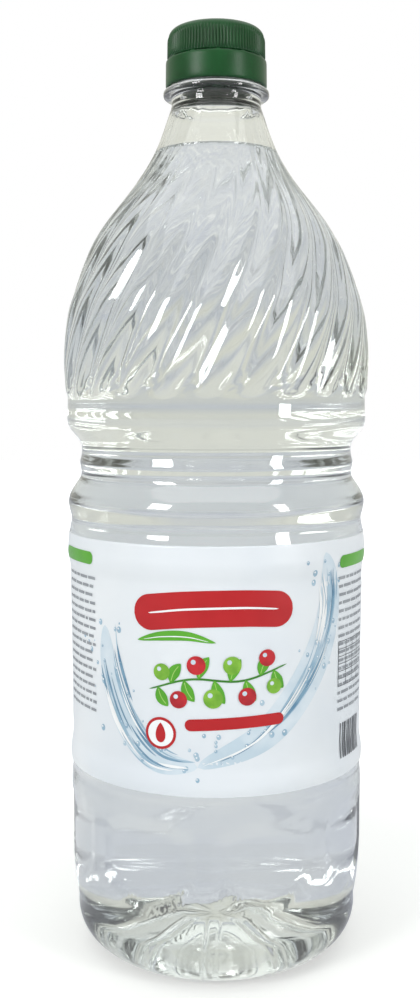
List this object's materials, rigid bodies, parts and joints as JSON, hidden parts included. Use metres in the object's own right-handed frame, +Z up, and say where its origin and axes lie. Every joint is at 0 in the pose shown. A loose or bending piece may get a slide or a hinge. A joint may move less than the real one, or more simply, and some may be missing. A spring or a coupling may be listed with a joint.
{
  "type": "vinegar bottle",
  "caption": "Clear plastic bottle of white vinegar with a spiral-fluted shoulder, a narrow waist, a white wrap label and a ribbed green screw cap.",
  "frame": {"origin": "centre of the standing ring, on the surface the bottle stands on", "axes": "+Z up along the bottle's axis, front of the label towards -Y, +X to the right of someone facing the front"},
  "size_m": [0.105, 0.105, 0.3145],
  "materials": {
    "clear_plastic": "gloss",
    "vinegar": "gloss",
    "label_film": "satin",
    "cap_plastic": "satin",
    "band_plastic": "satin"
  },
  "bodies": {
    "root": {"bottle": "clear_plastic", "vinegar": "vinegar", "label": "label_film", "cap": "cap_plastic", "tamper_band": "band_plastic"}
  },
  "joints": []
}
